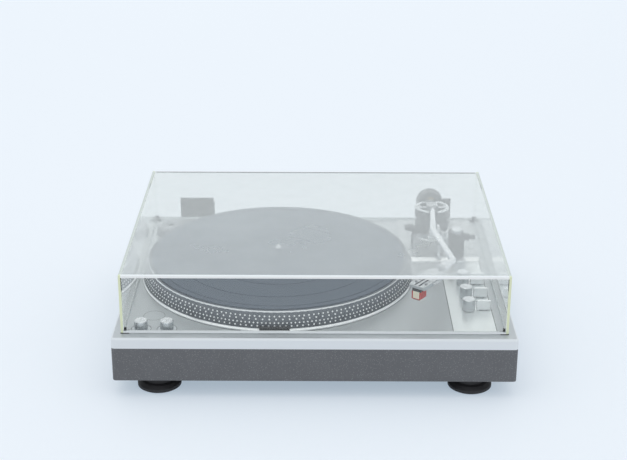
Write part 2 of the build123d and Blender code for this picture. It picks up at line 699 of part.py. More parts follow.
# Arm rest: a post with an open cradle and a swing-over clip
REST_X = 154.5
REST_D = 215.0


def tube_x(d):
    """The tube's centre line over its first straight run, or just past the bend."""
    share = (PIVOT_D - d) / (PIVOT_D - BEND_1[1])
    return PIVOT_X + share * (BEND_1[0] - PIVOT_X)


CRADLE_X = tube_x(REST_D)


def arm_rest_post():
    """Chrome post with a cranked bracket under the tube, open on the platter's side."""
    stand = post(REST_X, REST_D + 2.5, PLATE_H, PLATE_H + 3.5, 5.6)
    stand += post(REST_X, REST_D + 2.5, PLATE_H, 30, 2.2)
    stand += post(REST_X, REST_D + 2.5, 27, 30, 3.4)
    stand += block(CRADLE_X - 5.5, REST_X + 3.4, REST_D - 1, REST_D + 4, 29, 32)
    floor_h = ARM_H - TUBE_R - 1.3
    stand += block(CRADLE_X - 4.5, CRADLE_X + 6.6, REST_D - 1, REST_D + 4, 32, floor_h)
    stand += block(CRADLE_X + 5.0, CRADLE_X + 8.4, REST_D - 1, REST_D + 4, 32, ARM_H + 1.5)
    pivot = at(CRADLE_X + 6.7, REST_D + 1.5, ARM_H + 1.5) * Rot(90, 0, 0) * Cylinder(1.7, 5)
    stand += pivot
    return stand - at(CRADLE_X + 6.7, REST_D + 1.5, ARM_H + 1.5) * Rot(90, 0, 0) * Cylinder(0.8, 12)


def arm_rest_clip():
    """A U-shaped clip that stands open beside the cradle and swings over the tube."""
    hinge = at(CRADLE_X + 6.7, REST_D + 1.5, ARM_H + 1.5)
    bow = Cylinder(6.7, 1.6) - Cylinder(5.2, 3)
    bow -= Pos(0, 11.5, 0) * Box(30, 20, 4)
    loop = hinge * Pos(6.8, -3.4, -0.9) * Rot(90, 0, 0) * bow
    eye = hinge * Pos(0, -3.4, 0) * Rot(90, 0, 0) * Cylinder(1.8, 1.6)
    pin = hinge * Rot(90, 0, 0) * Cylinder(0.75, 6.8)
    return loop + eye + pin


# Cueing: a housing with a lever on its right, and a curved bar that lifts the arm
CUE_X = (168.0, 186.0)
CUE_D = (217.0, 243.0)
CUE_TOP = 32.0
LIFT_MID_R = 44.0
LIFT_POST_ANGLE = 236.0
LEVER_D = 233.0
LEVER_H = 25.0
ANTISKATE_D = 227.0
ANTISKATE_R = 7.0


def cue_housing():
    body = block(*CUE_X, *CUE_D, PLATE_H, CUE_TOP)
    body = fillet(body.edges().filter_by(Axis.Z), 2)
    body = chamfer(body.faces().sort_by(Axis.Z)[-1].edges(), 1)
    body -= at(CUE_X[1], LEVER_D, LEVER_H) * Rot(0, 90, 0) * Cylinder(2.55, 20)
    body -= post((CUE_X[0] + CUE_X[1]) / 2, ANTISKATE_D, CUE_TOP - 8, CUE_TOP + 1, 2.55)
    return body


def lift_place():
    """Where the lift bar's plunger stands, on a circle round the arm's pivot."""
    a = radians(LIFT_POST_ANGLE)
    return PIVOT_X + LIFT_MID_R * cos(a), PIVOT_D + LIFT_MID_R * sin(a)


def lift_barrel():
    """Bright barrel that guides the plunger."""
    return post(*lift_place(), PLATE_H, 24, 4.2) - post(*lift_place(), 4.6, 25, 2.55)


def cue_lever():
    lever = at(CUE_X[1] - 1.0, LEVER_D, LEVER_H) * Rot(0, 90, 0) * Cylinder(2.5, 14)
    lever += at(CUE_X[1] + 4.0, LEVER_D, LEVER_H) * Rot(0, 90, 0) * Cylinder(4.5, 6)
    handle = at(CUE_X[1] + 8.5, LEVER_D - 7, LEVER_H + 3) * Rot(-18, 0, 0) * Box(9, 22, 5)
    handle = fillet(handle.edges().filter_by(Axis.X), 1.2)
    return lever + handle


def cue_lift_bar():
    """A curved bar concentric with the arm's pivot, on a round plunger."""
    inner, outer = LIFT_MID_R - 5, LIFT_MID_R + 5
    bar = turned([(inner, 27), (outer, 27), (outer, 32), (outer - 1, 33), (inner + 1, 33), (inner, 32)])
    sector = Polyline((0, 0), *[(90 * cos(radians(a)), 90 * sin(radians(a))) for a in (222, 243, 264)],
                      close=True)
    bar = bar & at(0, 0, 20) * extrude(make_face(sector), 20)
    bar = Pos(PIVOT_X, PIVOT_D, 0) * bar
    return bar + post(*lift_place(), 8, 28, 2.5)


def antiskate_knob():
    x = (CUE_X[0] + CUE_X[1]) / 2
    knob = post(x, ANTISKATE_D, CUE_TOP + 0.4, CUE_TOP + 6, ANTISKATE_R)
    knob = chamfer(knob.edges().filter_by(GeomType.CIRCLE).sort_by(Axis.Z)[-1:], 0.8)
    for _, dx, dd in ring_of(24, ANTISKATE_R):
        knob -= post(x + dx, ANTISKATE_D + dd, CUE_TOP, CUE_TOP + 5, 0.4)
    mark_end = ANTISKATE_D - 2
    knob -= block(x - 0.4, x + 0.4, ANTISKATE_D - ANTISKATE_R, mark_end, CUE_TOP + 5.6, CUE_TOP + 7)
    return knob + post(x, ANTISKATE_D, CUE_TOP - 7, CUE_TOP + 0.4, 2.5)


# Single adaptor for records with a large hole, stored on the deck
def single_adaptor():
    return turned(
        [(3.75, -1), (ADAPTOR_R, -1), (ADAPTOR_R, 8.5), (16.5, 11.2), (9, 12), (7.5, 11), (3.75, 11)],
        *ADAPTOR_AT)


NODES = {
    "deck_plate": deck_plate,
    "plinth_frame": plinth_frame,
    "bottom_cover": bottom_cover,
    "cover_screws": cover_screws,
    "rubber_feet": rubber_feet,
    "foot_bolts": foot_bolts,
    "motor_housing": motor_housing,
    "stator_coils": stator_coils,
    "bearing_housing": bearing_housing,
    "circuit_board": circuit_board,
    "board_components": board_components,
    "transformer": transformer,
    "strobe_housing": strobe_housing,
    "strobe_window": strobe_window,
    "control_panel": control_panel,
    "control_bodies": control_bodies,
    "platter": platter,
    "platter_mat": platter_mat,
    "rotor_magnet": rotor_magnet,
    "spindle": spindle,
    "lid_cover": lid_cover,
    "lid_bumpers": lid_bumpers,
    "lid_hinge_leaves": lid_hinge_leaves,
    "hinge_bases": hinge_bases,
    "hinge_pins": hinge_pins,
    "cord_glands": cord_glands,
    "ground_terminal": ground_terminal,
    "tonearm_plate": tonearm_plate,
    "arm_base": arm_base,
    "gimbal_ring": gimbal_ring,
    "pivot_screws": pivot_screws,
    "arm_hub": arm_hub,
    "arm_tube": arm_tube,
    "headshell_collar": headshell_collar,
    "headshell": headshell,
    "cartridge_body": cartridge_body,
    "cartridge_screws": cartridge_screws,
    "stylus_holder": stylus_holder,
    "stylus_guard": stylus_guard,
    "finger_lift": finger_lift,
    "weight_bush": weight_bush,
    "counterweight": counterweight,
    "force_dial": force_dial,
    "arm_rest_post": arm_rest_post,
    "arm_rest_clip": arm_rest_clip,
    "cue_housing": cue_housing,
    "lift_barrel": lift_barrel,
    "cue_lever": cue_lever,
    "cue_lift_bar": cue_lift_bar,
    "antiskate_knob": antiskate_knob,
    "single_adaptor": single_adaptor,
}

for node, make in NODES.items():
    save(node, make())

KNOB_NAMES = ("speed_knob", "size_knob", "lift_speed_knob", "repeat_knob")
for node, d in zip(KNOB_NAMES, KNOB_D):
    save(node, selector_knob(d))

PADDLE_NAMES = ("start_paddle", "stop_paddle", "mode_paddle")
for node, d in zip(PADDLE_NAMES, KNOB_D):
    save(node, paddle(d))

for node, x in zip(("pitch_knob_left", "pitch_knob_right"), PITCH_X):
    save(node, pitch_knob(x))
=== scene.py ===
from math import cos, pi, radians, sin, tau

import bpy
from mathutils import Matrix, Vector


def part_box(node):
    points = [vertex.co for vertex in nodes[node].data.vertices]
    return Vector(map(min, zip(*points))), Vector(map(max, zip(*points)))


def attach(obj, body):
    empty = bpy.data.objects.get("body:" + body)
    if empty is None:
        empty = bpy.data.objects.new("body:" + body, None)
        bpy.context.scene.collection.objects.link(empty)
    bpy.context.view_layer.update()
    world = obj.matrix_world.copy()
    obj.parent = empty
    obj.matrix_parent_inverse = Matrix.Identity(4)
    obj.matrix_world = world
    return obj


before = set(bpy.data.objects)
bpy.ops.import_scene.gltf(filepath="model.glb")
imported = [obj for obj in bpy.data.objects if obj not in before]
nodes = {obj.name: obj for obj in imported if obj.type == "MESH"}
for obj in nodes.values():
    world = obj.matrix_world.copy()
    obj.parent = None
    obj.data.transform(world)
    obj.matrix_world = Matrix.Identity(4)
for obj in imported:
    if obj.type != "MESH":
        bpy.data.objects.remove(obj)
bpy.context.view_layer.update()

scene = bpy.context.scene
scene.view_settings.view_transform = "Standard"

# The photograph's viewpoint. The whole turntable was seen from the front and a little above,
# through a long lens, so its edges hardly converge. The camera's place was fitted to the lid,
# the deck and the platter's rings.
eye = Vector((0.0029, -1.5420, 0.7543))
look_down = radians(22.107)
turn_right = radians(-0.185)
roll = radians(0.125)
sensor_width = 36.0
focal_length = 78.41
camera_data = bpy.data.cameras.new("camera")
camera_data.sensor_fit = "HORIZONTAL"
camera_data.sensor_width = sensor_width
camera_data.lens = focal_length
camera = bpy.data.objects.new("camera", camera_data)
scene.collection.objects.link(camera)
aim = Matrix.Rotation(-turn_right, 4, "Z") @ Matrix.Rotation(pi / 2 - look_down, 4, "X")
camera.matrix_world = Matrix.Translation(eye) @ aim @ Matrix.Rotation(roll, 4, "Z")
scene.camera = camera


# The studio: a pale floor that the feet stand on, a soft lamp overhead, and a broad soft
# screen behind. The room itself is plain white, and its light glances off the dust cover's top.
# Seen directly, in metal or through the cover, the floor glows a little, so that shadows on it
# stay as pale as on a backlit studio table.
floor_colour = (0.85, 0.80, 0.77, 1)
floor_light_colour = (0.69, 0.845, 1.0, 1)
floor_glow = 0.42
room_colour = (0.93, 0.97, 1.0, 1)
room_level = 0.95
floor_half = 6.0


def shader_nodes(owner):
    """An empty node tree on a material or the world."""
    owner.use_nodes = True
    owner.node_tree.nodes.clear()
    return owner.node_tree


def wire(tree, source, target):
    tree.links.new(source, target)


floor_mesh = bpy.data.meshes.new("floor")
floor_mesh.from_pydata(
    [(-floor_half, -floor_half, 0), (floor_half, -floor_half, 0), (floor_half, floor_half, 0),
     (-floor_half, floor_half, 0)], [], [(0, 1, 2, 3)])
floor = bpy.data.objects.new("floor", floor_mesh)
scene.collection.objects.link(floor)
floor_paint = bpy.data.materials.new("floor_paint")
tree = shader_nodes(floor_paint)
floor_skin = tree.nodes.new("ShaderNodeBsdfPrincipled")
floor_skin.inputs["Base Color"].default_value = floor_colour
floor_skin.inputs["Roughness"].default_value = 0.75
floor_skin.inputs["Specular IOR Level"].default_value = 0.2
floor_light = tree.nodes.new("ShaderNodeEmission")
floor_light.inputs["Color"].default_value = floor_light_colour
floor_light.inputs["Strength"].default_value = 1.17
seen = tree.nodes.new("ShaderNodeLightPath")
seen_or_mirrored = tree.nodes.new("ShaderNodeMath")
seen_or_mirrored.operation = "MAXIMUM"
wire(tree, seen.outputs["Is Camera Ray"], seen_or_mirrored.inputs[0])
wire(tree, seen.outputs["Is Glossy Ray"], seen_or_mirrored.inputs[1])
seen_anyhow = tree.nodes.new("ShaderNodeMath")
seen_anyhow.operation = "MAXIMUM"
wire(tree, seen_or_mirrored.outputs[0], seen_anyhow.inputs[0])
wire(tree, seen.outputs["Is Transmission Ray"], seen_anyhow.inputs[1])
glow = tree.nodes.new("ShaderNodeMath")
glow.operation = "MULTIPLY"
glow.inputs[1].default_value = floor_glow
wire(tree, seen_anyhow.outputs[0], glow.inputs[0])
floor_mix = tree.nodes.new("ShaderNodeMixShader")
wire(tree, glow.outputs[0], floor_mix.inputs[0])
wire(tree, floor_skin.outputs[0], floor_mix.inputs[1])
wire(tree, floor_light.outputs[0], floor_mix.inputs[2])
wire(tree, floor_mix.outputs[0], tree.nodes.new("ShaderNodeOutputMaterial").inputs[0])
floor_mesh.materials.append(floor_paint)

room = bpy.data.worlds.new("room")
scene.world = room
tree = shader_nodes(room)
room_light = tree.nodes.new("ShaderNodeBackground")
room_light.inputs["Color"].default_value = room_colour
room_light.inputs["Strength"].default_value = room_level
wire(tree, room_light.outputs[0], tree.nodes.new("ShaderNodeOutputWorld").inputs[0])


def soft_screen(name, size, place, target, power):
    """A square-cornered soft lamp that faces a point."""
    lamp = bpy.data.lights.new(name, "AREA")
    lamp.shape = "RECTANGLE"
    lamp.size, lamp.size_y = size
    lamp.energy = power
    lamp_object = bpy.data.objects.new(name, lamp)
    scene.collection.objects.link(lamp_object)
    lamp_object.location = place
    facing = Vector(target) - Vector(place)
    lamp_object.rotation_euler = facing.to_track_quat("-Z", "Y").to_euler()
    lamp_object.visible_glossy = False


soft_screen("overhead_lamp", (2.4, 1.8), (-0.3, -0.3, 2.3), (0, 0, 0), 8.0)
soft_screen("rear_screen", (4.2, 1.7), (0, 2.6, 1.35), (0, 0, 0.3), 8.0)


# Fine variation, shared by every finish: a small grain, larger soft mottling and a height for
# the bump. It reads the object's own coordinates, which are metres in the whole turntable's
# frame, so it has the same scale on every piece.
def grain_group():
    """A group that varies a colour and a roughness, and puts out a height."""
    group = bpy.data.node_groups.new("Fine Grain", "ShaderNodeTree")
    for name, kind, start in (
            ("Colour", "NodeSocketColor", (0.5, 0.5, 0.5, 1)),
            ("Grain Size", "NodeSocketFloat", 0.001),
            ("Mottle Size", "NodeSocketFloat", 0.05),
            ("Contrast", "NodeSocketFloat", 0.05),
            ("Roughness", "NodeSocketFloat", 0.5)):
        socket = group.interface.new_socket(name, in_out="INPUT", socket_type=kind)
        socket.default_value = start
    group.interface.new_socket("Colour", in_out="OUTPUT", socket_type="NodeSocketColor")
    group.interface.new_socket("Roughness", in_out="OUTPUT", socket_type="NodeSocketFloat")
    group.interface.new_socket("Height", in_out="OUTPUT", socket_type="NodeSocketFloat")
    new, link = group.nodes.new, group.links.new
    given = new("NodeGroupInput")
    result = new("NodeGroupOutput")
    place = new("ShaderNodeTexCoord")
    layers = []
    for size_name, detail in (("Grain Size", 2.0), ("Mottle Size", 3.0)):
        scale = new("ShaderNodeMath")
        scale.operation = "DIVIDE"
        scale.inputs[0].default_value = 1.0
        link(given.outputs[size_name], scale.inputs[1])
        noise = new("ShaderNodeTexNoise")
        noise.inputs["Detail"].default_value = detail
        link(place.outputs["Object"], noise.inputs["Vector"])
        link(scale.outputs[0], noise.inputs["Scale"])
        layers.append(noise)
    both = new("ShaderNodeMath")
    both.operation = "ADD"
    link(layers[0].outputs[0], both.inputs[0])
    link(layers[1].outputs[0], both.inputs[1])
    centred = new("ShaderNodeMath")
    centred.operation = "SUBTRACT"
    link(both.outputs[0], centred.inputs[0])
    centred.inputs[1].default_value = 1.0
    swing = new("ShaderNodeMath")
    swing.operation = "MULTIPLY"
    link(centred.outputs[0], swing.inputs[0])
    link(given.outputs["Contrast"], swing.inputs[1])
    lift = new("ShaderNodeMath")
    lift.operation = "ADD"
    link(swing.outputs[0], lift.inputs[0])
    lift.inputs[1].default_value = 1.0
    shade = new("ShaderNodeVectorMath")
    shade.operation = "SCALE"
    link(given.outputs["Colour"], shade.inputs[0])
    link(lift.outputs[0], shade.inputs["Scale"])
    link(shade.outputs[0], result.inputs["Colour"])
    rough = new("ShaderNodeMath")
    rough.operation = "MULTIPLY_ADD"
    link(swing.outputs[0], rough.inputs[0])
    rough.inputs[1].default_value = 0.8
    link(given.outputs["Roughness"], rough.inputs[2])
    link(rough.outputs[0], result.inputs["Roughness"])
    link(layers[0].outputs[0], result.inputs["Height"])
    return group


fine_grain = grain_group()


def finish(name, colour, roughness, metallic=0.0, grain=0.001, mottle=0.05, contrast=0.06, bump=0.00002,
           coat=0.0):
    """A solid finish: the shared grain, a bump of real depth, and the shader's own plain values."""
    made = bpy.data.materials.new(name)
    tree = shader_nodes(made)
    shader = tree.nodes.new("ShaderNodeBsdfPrincipled")
    shader.name = "surface"
    varied = tree.nodes.new("ShaderNodeGroup")
    varied.name = "grain"
    varied.node_tree = fine_grain
    varied.inputs["Colour"].default_value = (*colour, 1)
    varied.inputs["Grain Size"].default_value = grain
    varied.inputs["Mottle Size"].default_value = mottle
    varied.inputs["Contrast"].default_value = contrast
    varied.inputs["Roughness"].default_value = roughness
    wire(tree, varied.outputs["Colour"], shader.inputs["Base Color"])
    wire(tree, varied.outputs["Roughness"], shader.inputs["Roughness"])
    relief = tree.nodes.new("ShaderNodeBump")
    relief.inputs["Distance"].default_value = bump
    wire(tree, varied.outputs["Height"], relief.inputs["Height"])
    wire(tree, relief.outputs[0], shader.inputs["Normal"])
    shader.inputs["Metallic"].default_value = metallic
    shader.inputs["Coat Weight"].default_value = coat
    shader.inputs["Coat Roughness"].default_value = 0.08
    output = tree.nodes.new("ShaderNodeOutputMaterial")
    wire(tree, shader.outputs[0], output.inputs["Surface"])
    return made


def dress(material, *names):
    """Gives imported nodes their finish, in every slot of their meshes."""
    for name in names:
        mesh = nodes[name].data
        for i in range(len(mesh.materials)):
            mesh.materials[i] = material
        if not mesh.materials:
            mesh.materials.append(material)


deck_height = 0.0735


def two_tone(material, low_colour, high_colour, height):
    """Changes a finish's colour from one to the other at a height over the deck."""
    tree = material.node_tree
    place = tree.nodes.new("ShaderNodeTexCoord")
    spot = tree.nodes.new("ShaderNodeSeparateXYZ")
    wire(tree, place.outputs["Object"], spot.inputs[0])
    above = tree.nodes.new("ShaderNodeMath")
    above.operation = "GREATER_THAN"
    above.inputs[1].default_value = deck_height + height
    wire(tree, spot.outputs["Z"], above.inputs[0])
    tone = tree.nodes.new("ShaderNodeMix")
    tone.data_type = "RGBA"
    tone.inputs["A"].default_value = low_colour
    tone.inputs["B"].default_value = high_colour
    wire(tree, above.outputs[0], tone.inputs["Factor"])
    wire(tree, tone.outputs["Result"], tree.nodes["grain"].inputs["Colour"])


# Deck plate: a die-cast tray, satin silver on top, with a chamfer round its edge. It drops over the
# plinth as a silver band; the chamfer and the band are painted a shade lighter, a painted highlight.
deck_colour = (0.59, 0.615, 0.635)
band_painted_highlight = (0.76, 0.79, 0.82, 1)
deck_finish = finish("deck_satin", deck_colour, 0.5, metallic=0.65, grain=0.0006, mottle=0.12,
                     contrast=0.05, bump=0.000012)
tree = deck_finish.node_tree
place = tree.nodes.new("ShaderNodeTexCoord")
height = tree.nodes.new("ShaderNodeSeparateXYZ")
wire(tree, place.outputs["Object"], height.inputs[0])
# Painted highlight: everything just under the deck's top, the chamfer and the band, takes the lighter
# colour.
band_highlight_mask = tree.nodes.new("ShaderNodeMapRange")
band_highlight_mask.inputs["From Min"].default_value = deck_height - 0.0004
band_highlight_mask.inputs["From Max"].default_value = deck_height - 0.0001
band_highlight_mask.inputs["To Min"].default_value = 1.0
band_highlight_mask.inputs["To Max"].default_value = 0.0
wire(tree, height.outputs["Z"], band_highlight_mask.inputs["Value"])
band_highlighted = tree.nodes.new("ShaderNodeMix")
band_highlighted.data_type = "RGBA"
wire(tree, band_highlight_mask.outputs[0], band_highlighted.inputs["Factor"])
wire(tree, tree.nodes["grain"].outputs["Colour"], band_highlighted.inputs["A"])
band_highlighted.inputs["B"].default_value = band_painted_highlight
wire(tree, band_highlighted.outputs["Result"], tree.nodes["surface"].inputs["Base Color"])
dress(deck_finish, "deck_plate")


# Plinth: a dark frame under the band, painted charcoal with a fine pale fleck, like stone.
# The flecks are of two sizes, thinly sprinkled.
plinth_colour = (0.116, 0.123, 0.136)
fleck_colour = (0.42, 0.44, 0.46, 1)
plinth_finish = finish("plinth_charcoal", plinth_colour, 0.55, grain=0.0012, mottle=0.03, contrast=0.25,
                       bump=0.00006)
tree = plinth_finish.node_tree
place = tree.nodes.new("ShaderNodeTexCoord")
flecks = tree.nodes.new("ShaderNodeTexVoronoi")
flecks.inputs["Scale"].default_value = 520.0
wire(tree, place.outputs["Object"], flecks.inputs["Vector"])
fleck_mask = tree.nodes.new("ShaderNodeMapRange")
fleck_mask.inputs["From Min"].default_value = 0.16
fleck_mask.inputs["From Max"].default_value = 0.30
fleck_mask.inputs["To Min"].default_value = 0.3
fleck_mask.inputs["To Max"].default_value = 0.0
wire(tree, flecks.outputs["Distance"], fleck_mask.inputs["Value"])
speckled = tree.nodes.new("ShaderNodeMix")
speckled.data_type = "RGBA"
wire(tree, fleck_mask.outputs[0], speckled.inputs["Factor"])
wire(tree, tree.nodes["grain"].outputs["Colour"], speckled.inputs["A"])
speckled.inputs["B"].default_value = fleck_colour
wire(tree, speckled.outputs["Result"], tree.nodes["surface"].inputs["Base Color"])
dress(plinth_finish, "plinth_frame")


# Underside and rear fittings: a black pressed cover with its screws, two empty cord glands,
# a ground terminal and the hinge brackets, all black moulding or plain steel.
cover_finish = finish("cover_black", (0.035, 0.035, 0.037), 0.6, grain=0.002, contrast=0.2, bump=0.00003)
steel_finish = finish("plain_steel", (0.52, 0.53, 0.55), 0.3, metallic=1.0, grain=0.0008, contrast=0.1)
moulding_finish = finish("black_moulding", (0.022, 0.023, 0.025), 0.42, grain=0.0009, contrast=0.2,
                         bump=0.00004)
dress(cover_finish, "bottom_cover")
dress(steel_finish, "cover_screws", "foot_bolts", "hinge_pins", "ground_terminal", "pivot_screws",
      "cartridge_screws")
dress(moulding_finish, "cord_glands", "hinge_bases", "lid_hinge_leaves")


# Feet: wide rubber flanges on ringed necks, matt black with a fine mottle.
foot_finish = finish("foot_rubber", (0.022, 0.022, 0.025), 0.62, grain=0.0015, mottle=0.02, contrast=0.3,
                     bump=0.00005)
dress(foot_finish, "rubber_feet")


# Works under the deck: a pressed steel motor pot with lacquered copper coils, a brass bearing,
# a transformer and the circuit board with its parts. They show only from below, through vents.
copper_finish = finish("coil_copper", (0.42, 0.17, 0.07), 0.35, metallic=0.6, grain=0.0005, contrast=0.4,
                       bump=0.0001)
brass_finish = finish("turned_brass", (0.66, 0.50, 0.24), 0.28, metallic=1.0, grain=0.0006, contrast=0.1)
pot_finish = finish("pressed_steel", (0.40, 0.41, 0.42), 0.4, metallic=0.9, grain=0.001, contrast=0.15)
board_finish = finish("board_green", (0.05, 0.16, 0.08), 0.4, grain=0.001, contrast=0.2)
case_finish = finish("component_case", (0.03, 0.03, 0.034), 0.45, grain=0.001, contrast=0.2)
dress(copper_finish, "stator_coils")
dress(brass_finish, "bearing_housing")
dress(pot_finish, "motor_housing", "transformer", "rotor_magnet")
dress(board_finish, "circuit_board")
dress(case_finish, "board_components", "control_bodies")


# Platter: a die-cast disc with a sloping dark rim, a thin bright ring round the mat and a flange
# at its foot painted near white, a painted highlight. Turning leaves fine rings on it.
platter_centre = Vector((-0.045, -0.0045, 0))
turned_colour = (0.80, 0.82, 0.84, 1)
flange_painted_highlight = (0.95, 0.96, 0.98, 1)
flange_highlight_top = 0.0041
platter_finish = finish("platter_polish", turned_colour[:3], 0.25, metallic=0.6, grain=0.0009,
                        contrast=0.06, bump=0.00001)
# Painted highlight: the flange, below its top, is painted near white.
two_tone(platter_finish, flange_painted_highlight, turned_colour, flange_highlight_top)
dress(platter_finish, "platter")


# Strobe band: the rim's slope is dark between its lip and flange, with four rows of bright
# cast dots. Each row has its own count, so that one row stands still at each speed.
rim_foot_radius = 0.1647
rim_foot_height = 0.0025
rim_slope = 6.0 / 16.7
band_low = 0.0040
band_high = 0.0229
ring_radius = 0.1550
band_proud = 0.00012


def rim_radius(height):
    """The rim's radius at a height over the deck."""
    return rim_foot_radius - rim_slope * (height - rim_foot_height)


def mesh_piece(name, vertices, faces, material, smooth=False):
    """A new mesh object in the scene."""
    mesh = bpy.data.meshes.new(name)
    mesh.from_pydata(vertices, [], faces)
    mesh.materials.append(material)
    if smooth:
        mesh.shade_smooth()
    piece = bpy.data.objects.new(name, mesh)
    scene.collection.objects.link(piece)
    return piece


def spun(name, outline, centre, steps, material):
    """A ring: a closed outline of (radius, height) points turned about an upright axis."""
    vertices, faces = [], []
    count = len(outline)
    for i in range(steps):
        angle = tau * i / steps
        for radius, height in outline:
            vertices.append((centre.x + radius * cos(angle), centre.y + radius * sin(angle),
                             centre.z + height))
    for i in range(steps):
        a, b = i * count, (i + 1) % steps * count
        for k in range(count):
            n = (k + 1) % count
            faces.append((a + k, b + k, b + n, a + n))
    return mesh_piece(name, vertices, faces, material, smooth=True)


band_finish = finish("strobe_band_dark", (0.125, 0.14, 0.165), 0.42, grain=0.0008, contrast=0.3,
                     bump=0.00004)
band_outline = [
    (rim_radius(band_low), band_low), (rim_radius(band_low) + band_proud, band_low),
    (rim_radius(band_high) + band_proud, band_high + band_proud), (ring_radius, band_high + band_proud),
    (ring_radius, band_high), (rim_radius(band_high), band_high),
]
deck_centre = Vector((platter_centre.x, platter_centre.y, deck_height))
strobe_band = spun("strobe_band", band_outline, deck_centre, 240, band_finish)
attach(strobe_band, "rotor")

dot_finish = finish("strobe_dot_bright", (0.86, 0.88, 0.90), 0.30, metallic=0.35, grain=0.0006,
                    contrast=0.05)
dot_rows = ((180, 0.0171, 0.00105), (133, 0.0139, 0.00105), (216, 0.0101, 0.00098), (160, 0.00675, 0.001))
dot_sides = 10
dot_height = 0.0003
vertices, faces = [], []
for count, height, radius in dot_rows:
    reach = rim_radius(height) + band_proud
    for i in range(count):
        angle = tau * i / count
        outward = Vector((cos(angle), sin(angle), 0))
        across = Vector((-sin(angle), cos(angle), 0))
        up = Vector((-rim_slope * cos(angle), -rim_slope * sin(angle), 1)).normalized()
        normal = across.cross(up)
        middle = deck_centre + outward * reach + Vector((0, 0, height))
        first = len(vertices)
        for share, rise in ((1.0, -0.1), (0.86, 0.8)):
            for k in range(dot_sides):
                a = tau * k / dot_sides
                side = radius * share * (cos(a) * across + sin(a) * up)
                vertices.append(middle + side + normal * dot_height * rise)
        vertices.append(middle + normal * dot_height)
        for k in range(dot_sides):
            n = (k + 1) % dot_sides
            faces.append((first + k, first + n, first + dot_sides + n, first + dot_sides + k))
            faces.append((first + dot_sides + k, first + dot_sides + n, first + 2 * dot_sides))
strobe_dots = mesh_piece("strobe_dots", vertices, faces, dot_finish)
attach(strobe_dots, "rotor")


# Strobe lamp: a small black block close in front of the rim, with a red window in its face
# towards the dots.
window_finish = finish("strobe_window_red", (0.45, 0.03, 0.02), 0.2, grain=0.002, contrast=0.1, coat=0.5)
dress(moulding_finish, "strobe_housing")
dress(window_finish, "strobe_window")


# Mat and spindle: a black rubber mat with moulded rings, painted blue-grey all over as a painted
# sheen for the light that glances off them, round a polished steel spindle.
# The mat's colour is a painted sheen, lighter and bluer than black rubber.
mat_sheen_finish = finish("mat_rubber", (0.112, 0.136, 0.174), 0.6, grain=0.0015, mottle=0.05, contrast=0.08,
                    bump=0.00002)
spindle_finish = finish("spindle_polish", (0.78, 0.79, 0.81), 0.1, metallic=1.0, grain=0.001, contrast=0.04)
dress(mat_sheen_finish, "platter_mat")
dress(spindle_finish, "spindle")


# Control strip and tonearm panel: satin plates with a soft shine, the strip pale and flush in the
# deck; the panel painted darker grey as painted shade, and its front bevel painted white as a painted
# highlight.
# Painted shade: the panel's darker grey.
panel_painted_shade = (0.52, 0.54, 0.555, 1)
plate_finish = finish("satin_plate", (0.80, 0.83, 0.84), 0.34, metallic=0.65, grain=0.0007, mottle=0.08,
                      contrast=0.04, bump=0.000006)
bevel_highlight_finish = finish("panel_shade_and_bevel_highlight", panel_painted_shade[:3], 0.4, metallic=0.65, grain=0.0007, mottle=0.08,
                      contrast=0.04, bump=0.000006)
bevel_depth = 0.0049
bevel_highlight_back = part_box("tonearm_plate")[0][1] + bevel_depth
tree = bevel_highlight_finish.node_tree
place = tree.nodes.new("ShaderNodeTexCoord")
spot = tree.nodes.new("ShaderNodeSeparateXYZ")
wire(tree, place.outputs["Object"], spot.inputs[0])
# Painted highlight: the front bevel is painted pure white.
bevel = tree.nodes.new("ShaderNodeMath")
bevel.operation = "LESS_THAN"
bevel.inputs[1].default_value = bevel_highlight_back
wire(tree, spot.outputs["Y"], bevel.inputs[0])
bevel_highlight_tone = tree.nodes.new("ShaderNodeMix")
bevel_highlight_tone.data_type = "RGBA"
bevel_highlight_tone.inputs["A"].default_value = panel_painted_shade
bevel_highlight_tone.inputs["B"].default_value = (1.0, 1.0, 1.0, 1)
wire(tree, bevel.outputs[0], bevel_highlight_tone.inputs["Factor"])
wire(tree, bevel_highlight_tone.outputs["Result"], tree.nodes["grain"].inputs["Colour"])
dress(plate_finish, "control_panel")
dress(bevel_highlight_finish, "tonearm_plate")


# Dark lines: a thin dark strip down each side of the control strip, a painted shadow of the gap
# round it, and thin engraved rings on the deck round the two small knobs, with a wider one behind them.
engraving_and_gap_shadow_finish = finish("engraved_and_gap_shadow_dark", (0.10, 0.105, 0.11), 0.5, grain=0.0006, contrast=0.15)
line_height = 0.00004
line_half = 0.00035
line_gap = 0.0004
ring_half = 0.0002
ring_places = (((-0.195, -0.161), 0.0111), ((-0.166, -0.161), 0.0111), ((-0.184, -0.127), 0.0122))
strip_low, strip_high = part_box("control_panel")
lines = []
# Painted shadow: each strip stands for the shaded gap beside the control strip.
for x in (strip_low[0] - line_gap, strip_high[0] + line_gap):
    left, right = x - line_half, x + line_half
    vertices = [(side, end, deck_height + line_height)
                for side, end in ((left, strip_low[1]), (right, strip_low[1]),
                                  (right, strip_high[1]), (left, strip_high[1]))]
    lines.append(mesh_piece("strip_gap_shadow", vertices, [(0, 1, 2, 3)], engraving_and_gap_shadow_finish))
for (x, y), radius in ring_places:
    inner, outer = radius - ring_half, radius + ring_half
    ring = [(inner, 0.0), (inner, line_height), (outer, line_height), (outer, 0.0)]
    lines.append(spun("deck_ring", ring, Vector((x, y, deck_height)), 96, engraving_and_gap_shadow_finish))
for line in lines:
    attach(line, "chassis")


